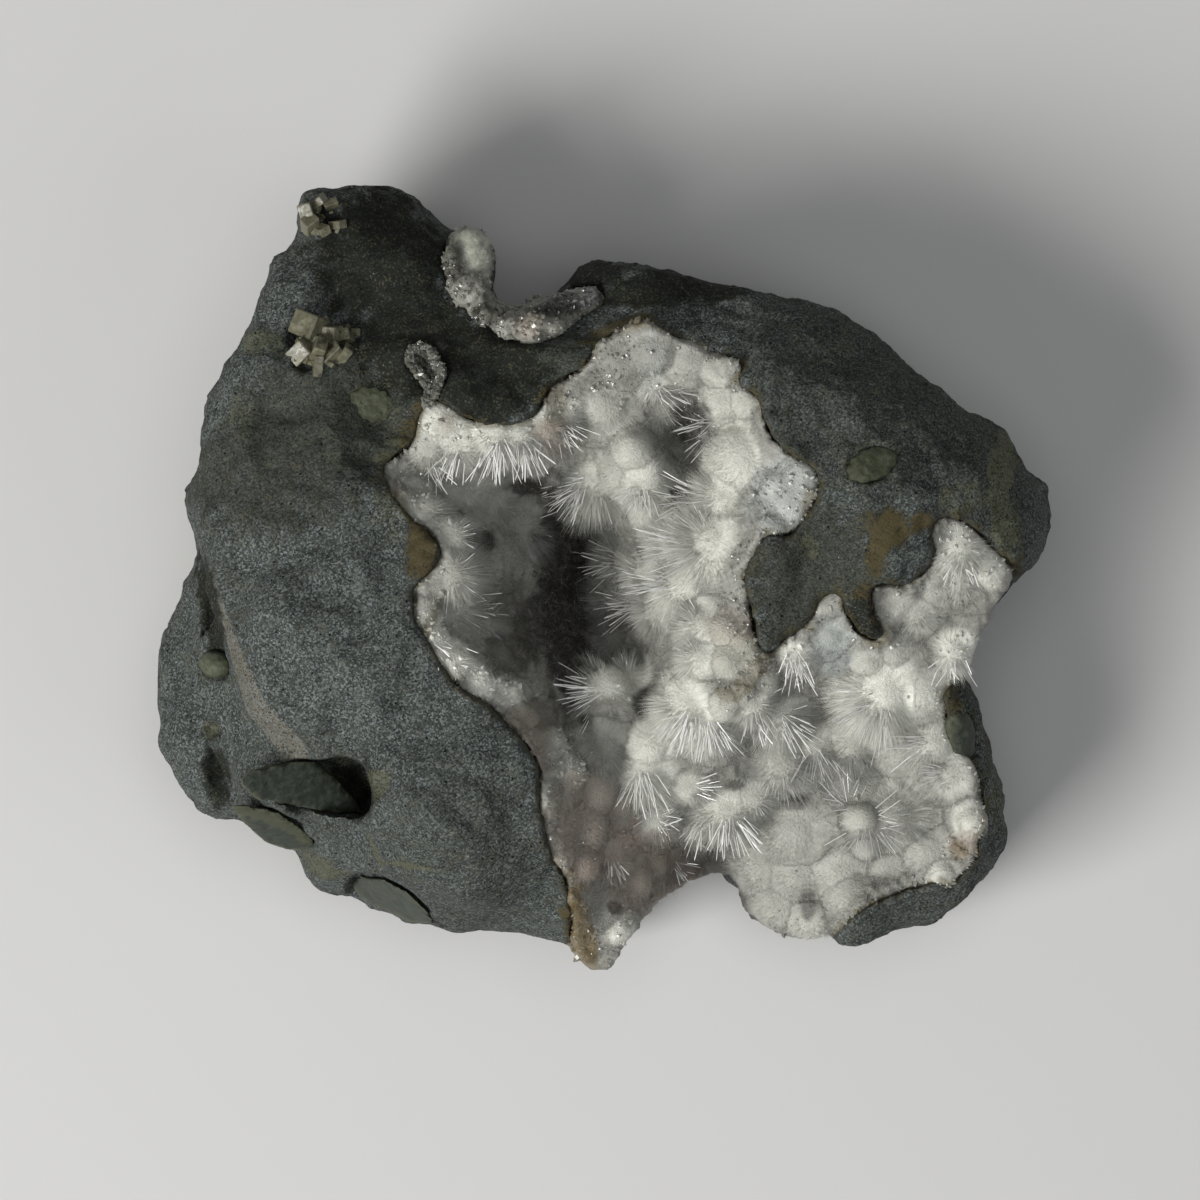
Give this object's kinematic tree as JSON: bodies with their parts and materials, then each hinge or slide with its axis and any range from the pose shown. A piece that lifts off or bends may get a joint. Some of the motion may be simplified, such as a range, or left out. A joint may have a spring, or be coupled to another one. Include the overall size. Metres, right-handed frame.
{
  "type": "thomsonite with natrolite mineral specimen",
  "caption": "Loose cabinet specimen of weathered basalt with a hollow lined by white balls of thomsonite and sprays of natrolite needles, lying on its flat back.",
  "frame": {"origin": "under the middle of the rock, on the surface that it rests on", "axes": "+X to the rock's right, +Y towards its top, +Z out of its crystal face, away from the surface that it rests on"},
  "size_m": [0.0999, 0.0871, 0.0455],
  "materials": {
    "basalt": "rough weathered, speckled grey",
    "crystal_crust": "glassy white needles and satin balls",
    "glassy_druse": "glassy, see-through at the edges",
    "blocky_crystal": "glassy flat faces, pale yellowish grey",
    "pale_green_filling": "waxy, mottled pale green",
    "dark_green_filling": "waxy, dark green"
  },
  "bodies": {
    "root": {"basalt_matrix": "basalt", "vug_crust": "crystal_crust", "notch_druse": "glassy_druse", "finger_druse": "glassy_druse", "calcite_cluster": "blocky_crystal", "top_crystals": "blocky_crystal", "jagged_amygdule": "pale_green_filling", "right_amygdule": "pale_green_filling", "ledge_amygdule": "pale_green_filling", "pocket_lens_upper": "pale_green_filling", "pocket_lens_middle": "pale_green_filling", "pocket_lens_lower": "dark_green_filling", "rim_lens": "dark_green_filling"}
  },
  "joints": []
}
